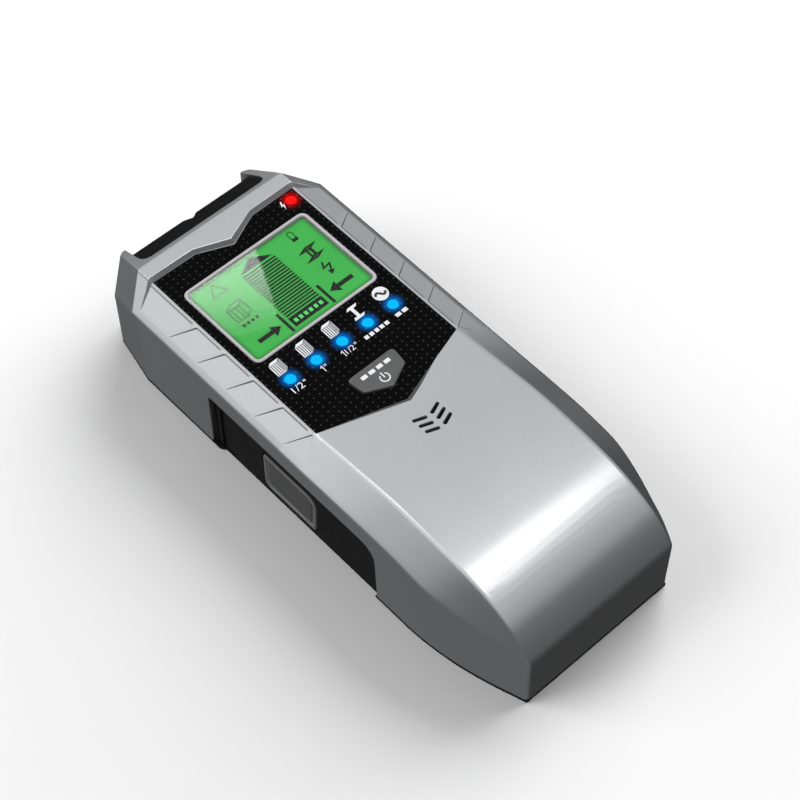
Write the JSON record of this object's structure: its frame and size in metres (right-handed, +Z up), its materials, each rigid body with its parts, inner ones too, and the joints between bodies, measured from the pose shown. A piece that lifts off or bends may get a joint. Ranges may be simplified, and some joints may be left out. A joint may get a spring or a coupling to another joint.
{
  "type": "stud finder",
  "caption": "Hand-held electronic stud finder: silver wedge housing, black control panel with a backlit display and mode lamps, side scan key, hinged battery door.",
  "frame": {"origin": "centre of the footprint, on the surface that the glide pads rest on", "axes": "+Y from the rounded tail to the sensing head, +Z up through the display face, +X to the right of someone holding it"},
  "size_m": [0.0682, 0.165, 0.0367],
  "materials": {
    "silver_shell": "silver metallic paint on moulded plastic, satin",
    "black_plastic": "fine moulded texture",
    "grip_rubber": "soft matt overmould",
    "panel_black": "printed membrane with a fine dot pattern",
    "frame_trim": "pale border line",
    "window_clear": "clear, polished",
    "lcd_green": "backlit liquid crystal",
    "diffuser_white": "frosted",
    "key_grey": "satin",
    "key_dark": "satin",
    "led_blue": "lit lens",
    "led_red": "lit lens",
    "board_green": "solder mask",
    "coil_copper": "enamelled winding",
    "screw_steel": "zinc plated",
    "pad_felt": "dense felt",
    "battery_case": "plain sleeve",
    "wire_red": "insulated",
    "wire_black": "insulated",
    "ribbon_white": "flat cable"
  },
  "bodies": {
    "housing": {"top_shell": "silver_shell", "base_shell": "black_plastic", "head_insert": "black_plastic", "left_grip": "grip_rubber", "right_grip": "grip_rubber", "display_overlay": "panel_black", "display_frame": "frame_trim", "display_window": "window_clear", "lcd_panel": "lcd_green", "lcd_backlight": "diffuser_white", "lcd_connector": "grip_rubber", "mode_switch": "screw_steel", "scan_switch": "screw_steel", "scan_switch_board": "board_green", "mode_led_1": "led_blue", "mode_led_2": "led_blue", "mode_led_3": "led_blue", "mode_led_4": "led_blue", "mode_led_5": "led_blue", "warning_led": "led_red", "main_board": "board_green", "controller_chip": "black_plastic", "sensor_board": "board_green", "sensor_coil": "coil_copper", "sensor_ribbon": "ribbon_white", "buzzer": "black_plastic", "battery": "battery_case", "battery_snap": "wire_black", "battery_lead_red": "wire_red", "battery_lead_black": "wire_black", "glide_pad_1": "pad_felt", "glide_pad_2": "pad_felt", "glide_pad_3": "pad_felt", "glide_pad_4": "pad_felt", "housing_screw_1": "screw_steel", "housing_screw_2": "screw_steel", "housing_screw_3": "screw_steel", "housing_screw_4": "screw_steel", "board_screw_1": "screw_steel", "board_screw_2": "screw_steel", "board_screw_3": "screw_steel", "board_screw_4": "screw_steel"},
    "mode_button": {"mode_button": "key_grey", "mode_switch_plunger": "black_plastic"},
    "scan_button": {"scan_button": "key_dark", "scan_switch_plunger": "black_plastic"},
    "battery_door": {"battery_door": "black_plastic"}
  },
  "joints": [
    {"name": "mode_press", "type": "slide", "parent": "housing", "child": "mode_button", "axis": [0, 0, -1], "range_m": [0, 0.0005], "stiffness_N_per_m": 400, "springref_m": -0.001},
    {"name": "scan_press", "type": "slide", "parent": "housing", "child": "scan_button", "axis": [1, 0, 0], "range_m": [0, 0.001], "stiffness_N_per_m": 300, "springref_m": -0.0015},
    {"name": "battery_door_hinge", "type": "hinge", "parent": "housing", "child": "battery_door", "pos_m": [0, -0.0726, 0.0019], "axis": [-1, 0, 0], "range_deg": [0, 95]}
  ]
}
